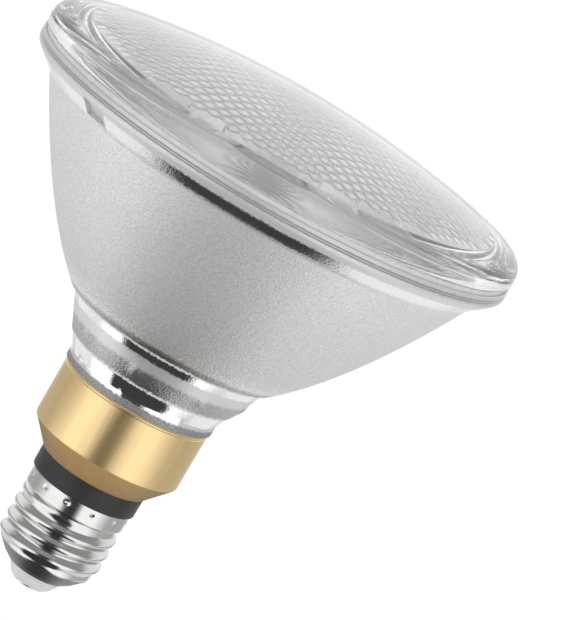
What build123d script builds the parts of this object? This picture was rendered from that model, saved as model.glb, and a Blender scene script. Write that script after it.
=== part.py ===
from build123d import *
import math
import os

# Pressed-glass reflector lamp with a brass skirt, a plastic driver housing and an E27 screw cap.
# Lengths are in millimetres and angles in degrees. The lamp axis is Z and the centre contact ends at Z = 0.

# Screw cap
THREAD_D = 26.1
THREAD_PITCH = 3.629
THREAD_DEPTH = 1.05
THREAD_WIDTH = 3.0
THREAD_FLANK = 0.45
THREAD_LENGTH = 14.3
THREAD_START = 150.0
SHELL_WALL = 0.3
CAP_LENGTH = 26.65
COLLAR_D = 25.8
COLLAR_LENGTH = 4.4
NOSE_LIP_D = 15.0
NOSE_LIP_Z = 3.9
NOSE_KNEE_D = 19.0
NOSE_KNEE_Z = 5.4
NOSE_SHOULDER_D = 23.4
STAKE_COUNT = 12
STAKE_RADIUS = 0.7
STAKE_DEPTH = 0.45
STAKE_DROP = 1.5
STAKE_TURN = -6.0

# Insulator and centre contact
INSULATOR_TIP_D = 10.0
INSULATOR_ROUND = 1.5
CONTACT_D = 8.2
CONTACT_PROUD = 0.45
CONTACT_SUNK = 0.35
STEM_D = 2.6

# Plastic base and driver cup
RING_LENGTH = 5.25
RING_FOOT_D = 27.0
RING_HEAD_D = 27.2
RING_ROUND = 0.4
PLASTIC_WALL = 1.6
SPIGOT_LENGTH = 15.0
SPIGOT_CLEARANCE = 0.1
BOSS_LENGTH = 2.6
BOSS_CLEARANCE = 0.15
RAIL_WIDTH = 1.0
RAIL_DEPTH = 1.3
RAIL_CLEARANCE = 0.1

# Brass skirt
SKIRT_D = 38.0
SKIRT_FOOT_D = 27.4
SKIRT_WALL = 0.5
SKIRT_CONE_LENGTH = 6.2
SKIRT_TUBE_LENGTH = 14.85
SKIRT_LIP_WIDTH = 1.6
SKIRT_CLEARANCE = 0.2

# Glass reflector
RIM_D = 123.8
FLANGE_WIDTH = 4.6
FLANGE_EDGE = 2.8
FLANGE_SLOPE_LENGTH = 5.2
FLANGE_ROUND = 1.5
RIM_EDGE_ROUND = 0.5
BODY_LENGTH = 41.6
BODY_FOOT_D = 54.6
GLASS_WALL = 2.8
NECK_LENGTH = 16.35
NECK_FOOT_D = 39.0
NECK_BAND_LENGTH = 2.7
NECK_RIDGE_Z = 6.45
NECK_RIDGE_STEP = 0.35
NECK_STEP = 1.2
HEEL_LENGTH = 5.4
BORE_D = 31.6
CEMENT_GAP = 0.4
LUG_COUNT = 8
LUG_RADIUS = 2.2
LUG_PROUD = 0.7
LUG_Z = 9.45
LUG_TURN = -6.8
NOTCH_WIDTH = 7.0
NOTCH_HEIGHT = 5.0
NOTCH_DEPTH = 1.0
NOTCH_ANGLE = -131.5

# Lens
SEAL_LENGTH = 1.2
SEAL_INSET = 0.8
LENS_EDGE = 4.8
LENS_RISE = 7.8
LENS_WALL = 3.2
LENS_ROUND = 3.9
TONGUE_LENGTH = 2.0
TONGUE_WIDTH = 2.0
TONGUE_CLEARANCE = 0.3
DOT_PITCH = 3.5
DOT_HEIGHT = 0.6
DOT_SINK = 0.1
DOT_MARGIN = 2.2

# Light source
SINK_BASE = 2.0
POST_D = 29.0
POST_WALL = 1.5
POST_CROWN = 3.0
COB_SIDE = 19.0
COB_LENGTH = 1.0
EMITTER_D = 12.0
EMITTER_LENGTH = 0.5
HOLDER_D = 28.0
HOLDER_LENGTH = 2.6
HOLDER_ROUND = 0.5
HOLDER_WINDOW_D = 13.6
HOLDER_WINDOW_SLOPE = 30.0
POCKET_CLEARANCE = 0.15
SCREW_D = 2.0
SCREW_HEAD_D = 3.8
SCREW_HEAD_LENGTH = 1.3
SCREW_LENGTH = 4.5
SCREW_RADIUS = 11.6
SCREW_CLEARANCE = 0.2
LEAD_D = 1.2
LEAD_RADIUS = 11.8
LEAD_HOLE_D = 2.0

# Driver
BOARD_THICKNESS = 1.2
BOARD_STEM_WIDTH = 18.4
BOARD_HEAD_WIDTH = 24.8
BOARD_FOOT_DROP = 1.2
BOARD_TOP_GAP = 1.0
TRANSFORMER = (10.6, 7.8, 10.0)
TRANSFORMER_LEG = 1.6
SMOOTHING_D = 8.0
SMOOTHING_LENGTH = 13.0
SMOOTHING_ROUND = 0.5
FILM = (9.0, 4.5, 8.0)
CHOKE_D = 6.0
CHOKE_WAIST_D = 4.4
CHOKE_LENGTH = 7.0
CHOKE_FLANGE = 1.2
RECTIFIER = (5.2, 1.7, 4.4)
CHIP = (5.0, 1.5, 4.0)
FUSE_D = 2.6
FUSE_LENGTH = 8.0
PART_GAP = 1.0

# Heights of the stack, from the contact end to the top of the lens
COLLAR_Z = CAP_LENGTH - COLLAR_LENGTH
THREAD_Z = COLLAR_Z - THREAD_LENGTH
SPIGOT_Z = CAP_LENGTH - SPIGOT_LENGTH
SKIRT_Z = CAP_LENGTH + RING_LENGTH
LIP_Z = SKIRT_Z + SKIRT_WALL
BOSS_Z = SKIRT_Z + BOSS_LENGTH
TUBE_Z = SKIRT_Z + SKIRT_CONE_LENGTH
SKIRT_TOP_Z = TUBE_Z + SKIRT_TUBE_LENGTH
NECK_Z = SKIRT_TOP_Z + CEMENT_GAP
HEEL_Z = NECK_Z - HEEL_LENGTH
SINK_Z = HEEL_Z - SINK_BASE
BODY_Z = NECK_Z + NECK_LENGTH
FLANGE_Z = BODY_Z + BODY_LENGTH
RIM_Z = FLANGE_Z + FLANGE_SLOPE_LENGTH
MOUTH_Z = RIM_Z + FLANGE_EDGE
LENS_Z = MOUTH_Z + SEAL_LENGTH
LENS_EDGE_Z = LENS_Z + LENS_EDGE
LENS_TOP_Z = LENS_EDGE_Z + LENS_RISE

# Heights and faces of the driver board
BOARD_Z = SPIGOT_Z - BOARD_FOOT_DROP
BOARD_TOP_Z = SINK_Z - BOARD_TOP_GAP
BOARD_FACE_Y = BOARD_THICKNESS / 2
FRONT = 1
BACK = -1

# Heights of the driver's parts, one above the other on each face
CHIP_Z = SPIGOT_Z + PART_GAP
FILM_Z = CHIP_Z + RECTIFIER[2] + PART_GAP
FUSE_Z = FILM_Z + FILM[2] + PART_GAP
TRANSFORMER_Z = FUSE_Z + FUSE_D + PART_GAP
CHOKE_Z = CHIP_Z + CHIP[2] + PART_GAP
SMOOTHING_Z = CHOKE_Z + CHOKE_LENGTH + PART_GAP

# Radii that several pieces share
THREAD_R = THREAD_D / 2
ROOT_R = THREAD_R - THREAD_DEPTH
COLLAR_R = COLLAR_D / 2
ROOT_BORE_R = ROOT_R - SHELL_WALL
SPIGOT_R = ROOT_BORE_R - SPIGOT_CLEARANCE
SPIGOT_BORE_R = SPIGOT_R - PLASTIC_WALL
COLLAR_FIT_R = COLLAR_R - SHELL_WALL - SPIGOT_CLEARANCE
SKIRT_R = SKIRT_D / 2
SKIRT_BORE_R = SKIRT_R - SKIRT_WALL
SKIRT_FOOT_R = SKIRT_FOOT_D / 2
LIP_BORE_R = SKIRT_FOOT_R - SKIRT_LIP_WIDTH
BOSS_R = LIP_BORE_R - BOSS_CLEARANCE
CUP_R = SKIRT_BORE_R - SKIRT_CLEARANCE
HEEL_R = SKIRT_BORE_R - CEMENT_GAP
BORE_R = BORE_D / 2
RIM_R = RIM_D / 2
MOUTH_R = RIM_R - FLANGE_WIDTH
BODY_BORE_R = BODY_FOOT_D / 2 - GLASS_WALL
POST_R = POST_D / 2
DOME_R = (RIM_R**2 + LENS_RISE**2) / (2 * LENS_RISE)
DOME_Z = LENS_TOP_Z - DOME_R

# The mirror is the parabola radius^2 = MIRROR_WIDTH * (height - MIRROR_VERTEX_Z), four focal lengths wide
MIRROR_WIDTH = (MOUTH_R**2 - BODY_BORE_R**2) / (MOUTH_Z - BODY_Z)
MIRROR_VERTEX_Z = BODY_Z - BODY_BORE_R**2 / MIRROR_WIDTH
FOCUS_Z = MIRROR_VERTEX_Z + MIRROR_WIDTH / 4
COB_Z = FOCUS_Z - EMITTER_LENGTH - COB_LENGTH


def mirror_radius(height):
    """Radius of the mirror at a height."""
    return math.sqrt(MIRROR_WIDTH * (height - MIRROR_VERTEX_Z))


def parabola(start, end):
    """Arc of an upright parabola between two (radius, height) points, as a quadratic Bezier."""
    width = (end[0] ** 2 - start[0] ** 2) / (end[1] - start[1])
    middle = ((start[0] + end[0]) / 2, start[1] + start[0] * (end[0] - start[0]) / width)
    return Bezier(start, middle, end)


def turned(outline):
    """Solid of revolution about Z from a closed outline drawn as (radius, height)."""
    return revolve(Plane.XZ * make_face(outline), Axis.Z)


def turned_points(*points):
    """Solid of revolution about Z from corner points drawn as (radius, height)."""
    return turned(Polyline(*points, close=True))


def sheet(points, wall):
    """Turned thin sheet whose outer face runs through points drawn as (radius, height)."""
    face = make_face(offset(Polyline(*points), wall, side=Side.LEFT, kind=Kind.INTERSECTION))
    return revolve(Plane.XZ * face, Axis.Z)


def tube(radius, bore, low, high):
    """Round tube about Z between two heights."""
    return turned_points((bore, low), (radius, low), (radius, high), (bore, high))


def rod(radius, low, high, x=0.0, y=0.0):
    """Round bar parallel to Z between two heights."""
    return Pos(x, y, (low + high) / 2) * Cylinder(radius, high - low)


def thread_ridge(crest, root):
    """Helical ridge with a bell-shaped section that starts inside a wall and rises to a crest radius."""
    half = THREAD_WIDTH / 2
    foot = root - SHELL_WALL / 2
    path = Helix(THREAD_PITCH, THREAD_LENGTH - THREAD_WIDTH, root)
    flanks = [(THREAD_FLANK, 1), (-THREAD_FLANK, 1)]
    bell = Spline((foot, -half), (crest, 0), (foot, half), tangents=flanks)
    section = make_face([bell, Line((foot, half), (foot, -half))])
    ridge = sweep(Plane.XZ * section, path=path, is_frenet=True)
    return Pos(0, 0, THREAD_Z + half) * Rot(0, 0, THREAD_START) * ridge


def stakes(radius):
    """Balls round the collar that press the shell into the base."""
    centre = COLLAR_R - STAKE_DEPTH + STAKE_RADIUS
    ball = Pos(centre, 0, CAP_LENGTH - STAKE_DROP) * Sphere(radius)
    return [Rot(0, 0, STAKE_TURN + 360 * i / STAKE_COUNT) * ball for i in range(STAKE_COUNT)]


def make_screw_shell():
    """Thin rolled shell with a helical thread, a staked collar and a drawn-in nose."""
    profile = [
        (NOSE_LIP_D / 2, NOSE_LIP_Z),
        (NOSE_KNEE_D / 2, NOSE_KNEE_Z),
        (NOSE_SHOULDER_D / 2, THREAD_Z - SHELL_WALL),
        (ROOT_R, THREAD_Z),
        (ROOT_R, COLLAR_Z - SHELL_WALL),
        (COLLAR_R, COLLAR_Z),
        (COLLAR_R, CAP_LENGTH),
    ]
    shell = sheet(profile, SHELL_WALL)
    shell += thread_ridge(THREAD_R, ROOT_R)
    shell -= thread_ridge(THREAD_R - SHELL_WALL, ROOT_BORE_R)
    bumps = Part() + stakes(STAKE_RADIUS + SHELL_WALL)
    shell += bumps & rod(COLLAR_R, COLLAR_Z, CAP_LENGTH)
    return shell - stakes(STAKE_RADIUS)


def make_cap_insulator():
    """White plug that fills the nose of the shell and carries the centre contact."""
    top_z = THREAD_Z - SHELL_WALL
    lip_slope = (NOSE_KNEE_D - NOSE_LIP_D) / 2 / (NOSE_KNEE_Z - NOSE_LIP_Z)
    slope = (NOSE_SHOULDER_D - NOSE_KNEE_D) / 2 / (top_z - NOSE_KNEE_Z)
    lip_across = SHELL_WALL * math.hypot(1, lip_slope)
    wall_across = SHELL_WALL * math.hypot(1, slope)
    lip_r = NOSE_LIP_D / 2 - SHELL_WALL
    lip_z = NOSE_LIP_Z + (lip_across - SHELL_WALL) / lip_slope
    knee_rise = (lip_across - wall_across) / (lip_slope - slope)
    outline = FilletPolyline(
        (0, CONTACT_PROUD),
        (INSULATOR_TIP_D / 2, CONTACT_PROUD),
        (lip_r, NOSE_LIP_Z),
        (lip_r, lip_z),
        (NOSE_KNEE_D / 2 + lip_slope * knee_rise - lip_across, NOSE_KNEE_Z + knee_rise),
        (NOSE_SHOULDER_D / 2 - wall_across, top_z),
        (0, top_z),
        radius=[0, INSULATOR_ROUND, 0, 0, 0, 0, 0],
        close=True,
    )
    plug = turned(outline)
    plug -= rod(CONTACT_D / 2, CONTACT_PROUD, CONTACT_PROUD + CONTACT_SUNK)
    return plug - rod(STEM_D / 2, CONTACT_PROUD, top_z)


def make_centre_contact():
    """Contact disc with a rivet stem through the insulator."""
    disc = rod(CONTACT_D / 2, 0, CONTACT_PROUD + CONTACT_SUNK)
    disc = fillet(disc.edges().group_by(Axis.Z)[0], CONTACT_PROUD / 2)
    return disc + rod(STEM_D / 2, CONTACT_PROUD, THREAD_Z - SHELL_WALL)


def make_base():
    """Moulded base: a spigot in the shell, the ring under the skirt and a boss through the skirt."""
    boss_bore_r = BOSS_R - PLASTIC_WALL
    outline = FilletPolyline(
        (SPIGOT_BORE_R, SPIGOT_Z),
        (SPIGOT_R, SPIGOT_Z),
        (SPIGOT_R, COLLAR_Z + SHELL_WALL),
        (COLLAR_FIT_R, COLLAR_Z + SHELL_WALL + COLLAR_FIT_R - SPIGOT_R),
        (COLLAR_FIT_R, CAP_LENGTH),
        (RING_FOOT_D / 2, CAP_LENGTH),
        (RING_HEAD_D / 2, SKIRT_Z),
        (BOSS_R, SKIRT_Z),
        (BOSS_R, BOSS_Z),
        (boss_bore_r, BOSS_Z),
        (boss_bore_r, CAP_LENGTH + boss_bore_r - SPIGOT_BORE_R),
        (SPIGOT_BORE_R, CAP_LENGTH),
        radius=[0, 0, 0, 0, 0, RING_ROUND, 0, 0, 0, 0, 0, 0],
        close=True,
    )
    base = turned(outline)
    reach = STAKE_RADIUS + SHELL_WALL + SPIGOT_CLEARANCE
    groove_z = CAP_LENGTH - STAKE_DROP
    groove_r = COLLAR_R - STAKE_DEPTH - SHELL_WALL - SPIGOT_CLEARANCE
    base -= tube(COLLAR_R, groove_r, groove_z - reach, groove_z + reach)
    return base + board_rails()


def board_rails():
    """Two pairs of rails inside the spigot that hold the edges of the driver board."""
    length = CAP_LENGTH - SPIGOT_Z
    depth = RAIL_DEPTH + PLASTIC_WALL / 2
    x = SPIGOT_BORE_R - RAIL_DEPTH + depth / 2
    y = BOARD_THICKNESS / 2 + RAIL_CLEARANCE + RAIL_WIDTH / 2
    rail = Pos(0, 0, SPIGOT_Z + length / 2) * Box(depth, RAIL_WIDTH, length)
    return [Pos(side_x * x, side_y * y, 0) * rail for side_x in (-1, 1) for side_y in (-1, 1)]


def make_driver_cup():
    """Cup inside the skirt that clamps the skirt's lip on the base and carries the heat sink."""
    slope = (SKIRT_R - SKIRT_FOOT_R) / SKIRT_CONE_LENGTH
    lean = math.hypot(1, slope)
    gap_across = (SKIRT_WALL + SKIRT_CLEARANCE) * lean
    wall_across = PLASTIC_WALL * lean
    foot_r = SKIRT_FOOT_R + slope * SKIRT_WALL - gap_across
    bore_r = BOSS_R + BOSS_CLEARANCE
    cup_bore_r = CUP_R - PLASTIC_WALL
    return turned_points(
        (bore_r, LIP_Z),
        (foot_r, LIP_Z),
        (CUP_R, LIP_Z + (CUP_R - foot_r) / slope),
        (CUP_R, SINK_Z),
        (cup_bore_r, SINK_Z),
        (cup_bore_r, LIP_Z + (cup_bore_r + wall_across - foot_r) / slope),
        (bore_r, LIP_Z + (bore_r + wall_across - foot_r) / slope),
    )


def make_skirt():
    """Drawn brass skirt: a lip on the base, a cone and a tube round the glass heel."""
    profile = [
        (LIP_BORE_R, SKIRT_Z),
        (SKIRT_FOOT_R, SKIRT_Z),
        (SKIRT_R, TUBE_Z),
        (SKIRT_R, SKIRT_TOP_Z),
    ]
    return sheet(profile, SKIRT_WALL)


def make_neck_cement():
    """Cement round the glass heel and under the neck's shoulder."""
    return turned_points(
        (HEEL_R, HEEL_Z),
        (SKIRT_BORE_R, HEEL_Z),
        (SKIRT_BORE_R, SKIRT_TOP_Z),
        (SKIRT_R, SKIRT_TOP_Z),
        (SKIRT_R, NECK_Z),
        (HEEL_R, NECK_Z),
    )


def make_reflector():
    """Pressed glass bowl: parabolic wall, rim flange, stepped neck with lugs, and a heel."""
    foot = (BODY_FOOT_D / 2, BODY_Z)
    head = (mirror_radius(FLANGE_Z) + GLASS_WALL, FLANGE_Z)
    bore_z = MIRROR_VERTEX_Z + BORE_R**2 / MIRROR_WIDTH
    neck_top = (foot[0] - NECK_STEP, BODY_Z)
    band = (NECK_FOOT_D / 2, NECK_Z + NECK_BAND_LENGTH)
    slope = (neck_top[0] - NECK_RIDGE_STEP - band[0]) / (neck_top[1] - band[1])
    ridge_z = NECK_Z + NECK_RIDGE_Z
    ridge_r = band[0] + slope * (ridge_z - band[1])
    rim = FilletPolyline(
        head,
        (RIM_R, RIM_Z),
        (RIM_R, MOUTH_Z),
        (MOUTH_R, MOUTH_Z),
        radius=[FLANGE_ROUND, RIM_EDGE_ROUND],
    )
    neck = Polyline(
        (BORE_R, bore_z),
        (BORE_R, HEEL_Z),
        (HEEL_R, HEEL_Z),
        (HEEL_R, NECK_Z),
        (NECK_FOOT_D / 2, NECK_Z),
        band,
        (ridge_r, ridge_z),
        (ridge_r + NECK_RIDGE_STEP, ridge_z),
        neck_top,
        foot,
    )
    mirror_line = parabola((MOUTH_R, MOUTH_Z), (BORE_R, bore_z))
    bowl = turned([parabola(foot, head), *rim.edges(), mirror_line, *neck.edges()])
    lug_r = ridge_r + NECK_RIDGE_STEP + slope * (LUG_Z - NECK_RIDGE_Z)
    lug = Pos(lug_r + LUG_PROUD - LUG_RADIUS, 0, NECK_Z + LUG_Z) * Sphere(LUG_RADIUS)
    bowl += [Rot(0, 0, LUG_TURN + 360 * i / LUG_COUNT) * lug for i in range(LUG_COUNT)]
    lean = -math.degrees(math.atan2(FLANGE_SLOPE_LENGTH, RIM_R - head[0]))
    middle = Pos((RIM_R + head[0]) / 2, 0, (RIM_Z + FLANGE_Z) / 2)
    notch = middle * Rot(0, lean, 0) * Box(NOTCH_HEIGHT, NOTCH_WIDTH, 2 * NOTCH_DEPTH)
    return bowl - Rot(0, 0, NOTCH_ANGLE) * notch


def on_dome(radius, x, y):
    """Point over (x, y) on a sphere about the centre of the lens dome."""
    return (x, y, DOME_Z + math.sqrt(radius**2 - x**2 - y**2))


def facet(*corners):
    """Flat face with the given corners."""
    return Face(Wire.make_polygon(corners, close=True))


def dot_centres(reach):
    """Centres of the whole dots of a hexagonal lattice inside a circle."""
    row = DOT_PITCH * math.sqrt(3) / 2
    count = math.ceil(reach / row)
    steps = range(-count, count + 1)
    lattice = [(DOT_PITCH * (i + j % 2 / 2), row * j) for j in steps for i in steps]
    return [(x, y) for x, y in lattice if math.hypot(x, y) + DOT_PITCH / math.sqrt(3) <= reach]


def dot_space(reach, floor_z):
    """Space under the field of dots: six facets over each dot, upright walls and a flat floor."""
    point_r = DOME_R - LENS_WALL + DOT_SINK
    valley_r = point_r + DOT_HEIGHT
    corner_r = DOT_PITCH / math.sqrt(3)
    turns = [math.radians(60 * k + 30) for k in range(6)]
    faces = []
    sides = set()
    for x, y in dot_centres(reach):
        ring = [(round(x + corner_r * math.cos(t), 6), round(y + corner_r * math.sin(t), 6)) for t in turns]
        for start, end in zip(ring, ring[1:] + ring[:1]):
            faces.append(facet(on_dome(point_r, x, y), on_dome(valley_r, *start), on_dome(valley_r, *end)))
            sides.add((start, end))
    border = {start: end for start, end in sides if (end, start) not in sides}
    outline = [min(border)]
    while border[outline[-1]] != outline[0]:
        outline.append(border[outline[-1]])
    for start, end in border.items():
        top = [on_dome(valley_r, *end), on_dome(valley_r, *start)]
        faces.append(facet((*start, floor_z), (*end, floor_z), *top))
    faces.append(facet(*[(x, y, floor_z) for x, y in outline]))
    return Solid(Shell(faces))


def make_lens():
    """Domed glass lens with dots inside, a rounded edge and a tongue that centres it in the reflector."""
    tongue_z = MOUTH_Z - TONGUE_LENGTH
    tongue_r = mirror_radius(tongue_z) - TONGUE_CLEARANCE
    well_r = tongue_r - TONGUE_WIDTH

    def dome(radius, reach):
        heights = [(r, DOME_Z + math.sqrt(radius**2 - r**2)) for r in (0, reach / 2, reach)]
        return ThreePointArc(*heights)

    outside = dome(DOME_R, RIM_R)
    inside = dome(DOME_R - LENS_WALL, well_r)
    edge = Polyline(
        outside @ 1,
        (RIM_R, LENS_Z),
        (tongue_r, LENS_Z),
        (tongue_r, tongue_z),
        (well_r, tongue_z),
        inside @ 1,
    )
    axis = Line(inside @ 0, outside @ 0)
    face = make_face([outside, *edge.edges(), inside, axis])
    face = fillet(face.vertices().sort_by_distance((RIM_R, LENS_EDGE_Z))[0], LENS_ROUND)
    face = fillet(face.vertices().sort_by_distance((RIM_R, LENS_Z))[0], RIM_EDGE_ROUND)
    blank = revolve(Plane.XZ * face, Axis.Z)
    return blank - dot_space(well_r - DOT_MARGIN, tongue_z)


def make_rim_seal():
    """Bond between the flange and the lens, set back from the rim."""
    return tube(RIM_R - SEAL_INSET, MOUTH_R, MOUTH_Z, LENS_Z)


def around(radius, angle):
    """Two places opposite each other on a circle, the first at an angle from X."""
    turns = [math.radians(angle), math.radians(angle + 180)]
    return [(radius * math.cos(turn), radius * math.sin(turn)) for turn in turns]


def make_heat_sink():
    """Aluminium disc under the glass heel with a hollow post that holds the light at the focus."""
    cavity_r = POST_R - POST_WALL
    cavity_z = COB_Z - POST_CROWN
    sink = turned_points(
        (cavity_r, SINK_Z),
        (CUP_R, SINK_Z),
        (CUP_R, HEEL_Z),
        (POST_R, HEEL_Z),
        (POST_R, COB_Z),
        (0, COB_Z),
        (0, cavity_z),
        (cavity_r, cavity_z),
    )
    for x, y in around(LEAD_RADIUS, 0):
        sink -= rod(LEAD_HOLE_D / 2, cavity_z, COB_Z, x, y)
    for x, y in around(SCREW_RADIUS, 90):
        sink -= rod(SCREW_D / 2, cavity_z, COB_Z, x, y)
    return sink


def make_cob_board():
    """Square ceramic board under the emitter."""
    return Pos(0, 0, COB_Z + COB_LENGTH / 2) * Box(COB_SIDE, COB_SIDE, COB_LENGTH)


def make_cob_emitter():
    """Round phosphor field on the board, its face at the focus of the mirror."""
    return rod(EMITTER_D / 2, COB_Z + COB_LENGTH, FOCUS_Z)


def make_cob_holder():
    """Holder ring that presses the board on the post, with a flared window for the light."""
    top_z = COB_Z + HOLDER_LENGTH
    ring = rod(HOLDER_D / 2, COB_Z, top_z)
    ring = fillet(ring.edges().group_by(Axis.Z)[-1], HOLDER_ROUND)
    pocket = COB_SIDE + 2 * POCKET_CLEARANCE
    ring -= Pos(0, 0, COB_Z + COB_LENGTH / 2) * Box(pocket, pocket, COB_LENGTH)
    window_r = HOLDER_WINDOW_D / 2
    flare = window_r + HOLDER_LENGTH * math.tan(math.radians(HOLDER_WINDOW_SLOPE))
    ring -= turned_points((0, COB_Z), (window_r, COB_Z), (flare, top_z), (0, top_z))
    for x, y in around(SCREW_RADIUS, 90):
        ring -= rod(SCREW_D / 2 + SCREW_CLEARANCE, COB_Z, top_z, x, y)
    return ring


def make_holder_screws():
    """The two screws of the holder, as separate solids."""
    seat_z = COB_Z + HOLDER_LENGTH
    screws = []
    for x, y in around(SCREW_RADIUS, 90):
        shank = rod(SCREW_D / 2, seat_z - SCREW_LENGTH, seat_z, x, y)
        head = rod(SCREW_HEAD_D / 2, seat_z, seat_z + SCREW_HEAD_LENGTH, x, y)
        head = fillet(head.edges().group_by(Axis.Z)[-1], SCREW_HEAD_LENGTH / 2)
        screws.append(shank + head)
    return Compound(children=[screw.solid() for screw in screws])


def make_driver_board():
    """Upright board: its stem slides between the rails and its head rests on the boss."""
    stem = Pos(0, 0, (BOARD_Z + BOSS_Z) / 2) * Box(BOARD_STEM_WIDTH, BOARD_THICKNESS, BOSS_Z - BOARD_Z)
    head_length = BOARD_TOP_Z - BOSS_Z
    head = Pos(0, 0, BOSS_Z + head_length / 2) * Box(BOARD_HEAD_WIDTH, BOARD_THICKNESS, head_length)
    return stem + head


def on_board(size, side, low):
    """Block of (width, depth, height) standing on a face of the board."""
    y = side * (BOARD_FACE_Y + size[1] / 2)
    return Pos(0, y, low + size[2] / 2) * Box(*size)


def transformer_window():
    """Opening of the core, filled by the winding."""
    width, depth, height = TRANSFORMER
    size = (width - 2 * TRANSFORMER_LEG, depth, height - 2 * TRANSFORMER_LEG)
    return on_board(size, FRONT, TRANSFORMER_Z + TRANSFORMER_LEG)


def make_transformer_core():
    """Ferrite core round the winding."""
    return on_board(TRANSFORMER, FRONT, TRANSFORMER_Z) - transformer_window()


def make_transformer_winding():
    """Taped winding in the window of the core."""
    return transformer_window()


def make_smoothing_capacitor():
    """Round can against the back of the board."""
    radius = SMOOTHING_D / 2
    can = rod(radius, SMOOTHING_Z, SMOOTHING_Z + SMOOTHING_LENGTH, 0, BACK * (BOARD_FACE_Y + radius))
    return fillet(can.edges().filter_by(GeomType.CIRCLE), SMOOTHING_ROUND)


def make_film_capacitor():
    """Boxed film capacitor on the front of the board."""
    return on_board(FILM, FRONT, FILM_Z)


def make_choke():
    """Drum choke with a wound waist, on the back of the board."""
    radius = CHOKE_D / 2
    top_z = CHOKE_Z + CHOKE_LENGTH
    y = BACK * (BOARD_FACE_Y + radius)
    drum = rod(radius, CHOKE_Z, CHOKE_Z + CHOKE_FLANGE, 0, y)
    drum += rod(CHOKE_WAIST_D / 2, CHOKE_Z, top_z, 0, y)
    return drum + rod(radius, top_z - CHOKE_FLANGE, top_z, 0, y)


def make_rectifier():
    """Bridge rectifier at the foot of the board."""
    return on_board(RECTIFIER, FRONT, CHIP_Z)


def make_control_chip():
    """Control chip on the back of the board."""
    return on_board(CHIP, BACK, CHIP_Z)


def make_fuse_resistor():
    """Fusible resistor lying across the front of the board."""
    radius = FUSE_D / 2
    return Pos(0, BOARD_FACE_Y + radius, FUSE_Z + radius) * Rot(0, 90, 0) * Cylinder(radius, FUSE_LENGTH)


def make_contact_lead():
    """Wire from the contact's stem to the foot of the board."""
    return rod(LEAD_D / 2, THREAD_Z - SHELL_WALL, BOARD_Z)


def make_shell_lead():
    """Wire from the edge of the board to the wall of the shell, under the spigot."""
    start = BOARD_STEM_WIDTH / 2
    end = ROOT_BORE_R - SPIGOT_CLEARANCE
    place = Pos((start + end) / 2, 0, BOARD_Z + LEAD_D / 2)
    return place * Rot(0, 90, 0) * Cylinder(LEAD_D / 2, end - start)


def make_led_lead(place):
    """Wire from the top of the board through the post to the holder."""
    return rod(LEAD_D / 2, BOARD_TOP_Z, COB_Z, *place)


RED_PLACE, BLACK_PLACE = around(LEAD_RADIUS, 0)

pieces = {
    "lens": make_lens(),
    "rim_seal": make_rim_seal(),
    "reflector": make_reflector(),
    "neck_cement": make_neck_cement(),
    "skirt": make_skirt(),
    "base": make_base(),
    "driver_cup": make_driver_cup(),
    "screw_shell": make_screw_shell(),
    "cap_insulator": make_cap_insulator(),
    "centre_contact": make_centre_contact(),
    "heat_sink": make_heat_sink(),
    "cob_board": make_cob_board(),
    "cob_emitter": make_cob_emitter(),
    "cob_holder": make_cob_holder(),
    "holder_screws": make_holder_screws(),
    "driver_board": make_driver_board(),
    "transformer_core": make_transformer_core(),
    "transformer_winding": make_transformer_winding(),
    "smoothing_capacitor": make_smoothing_capacitor(),
    "film_capacitor": make_film_capacitor(),
    "choke": make_choke(),
    "rectifier": make_rectifier(),
    "control_chip": make_control_chip(),
    "fuse_resistor": make_fuse_resistor(),
    "contact_lead": make_contact_lead(),
    "shell_lead": make_shell_lead(),
    "led_lead_red": make_led_lead(RED_PLACE),
    "led_lead_black": make_led_lead(BLACK_PLACE),
}

os.makedirs("parts", exist_ok=True)
for node, piece in pieces.items():
    export_step(piece, f"parts/{node}.step")
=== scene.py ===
"""Reflector lamp: glass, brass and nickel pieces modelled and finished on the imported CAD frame."""

import math
from collections import namedtuple

import bpy
from mathutils import Matrix, Vector, noise


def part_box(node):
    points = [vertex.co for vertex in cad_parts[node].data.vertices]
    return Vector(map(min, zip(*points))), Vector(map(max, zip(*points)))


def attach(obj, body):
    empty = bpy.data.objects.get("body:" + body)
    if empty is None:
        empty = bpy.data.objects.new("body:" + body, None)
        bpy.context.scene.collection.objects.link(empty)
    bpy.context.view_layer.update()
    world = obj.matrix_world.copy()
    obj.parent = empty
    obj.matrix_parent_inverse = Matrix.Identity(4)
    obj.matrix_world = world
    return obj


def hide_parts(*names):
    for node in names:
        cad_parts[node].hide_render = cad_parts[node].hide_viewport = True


bl_info = {
    "name": "Reflector lamp",
    "version": (1, 0, 0),
    "blender": (4, 5, 0),
    "location": "3D View > Sidebar > Lamp",
    "description": "Models the glass, brass and screw cap of a reflector lamp and lights them",
    "category": "Object",
}

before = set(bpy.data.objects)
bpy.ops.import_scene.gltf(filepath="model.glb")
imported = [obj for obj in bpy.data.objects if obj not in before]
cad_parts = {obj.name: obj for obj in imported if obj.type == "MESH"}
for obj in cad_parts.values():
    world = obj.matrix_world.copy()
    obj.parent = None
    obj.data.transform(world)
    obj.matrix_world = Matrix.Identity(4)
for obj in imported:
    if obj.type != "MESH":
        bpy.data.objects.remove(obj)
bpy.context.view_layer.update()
LENS_LOW, LENS_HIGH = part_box("lens")
SEAL_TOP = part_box("rim_seal")[1].z
GLASS_LOW, GLASS_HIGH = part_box("reflector")
CEMENT_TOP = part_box("neck_cement")[1].z
SKIRT_LOW, SKIRT_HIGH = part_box("skirt")
SHELL_LOW, SHELL_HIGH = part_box("screw_shell")
MM = 0.001

# Steps round the axis, and the slices that each spin is split into
GLASS_STEPS = 288
METAL_STEPS = 224
SLICES = 16
LENS_SLICES = 6

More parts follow.
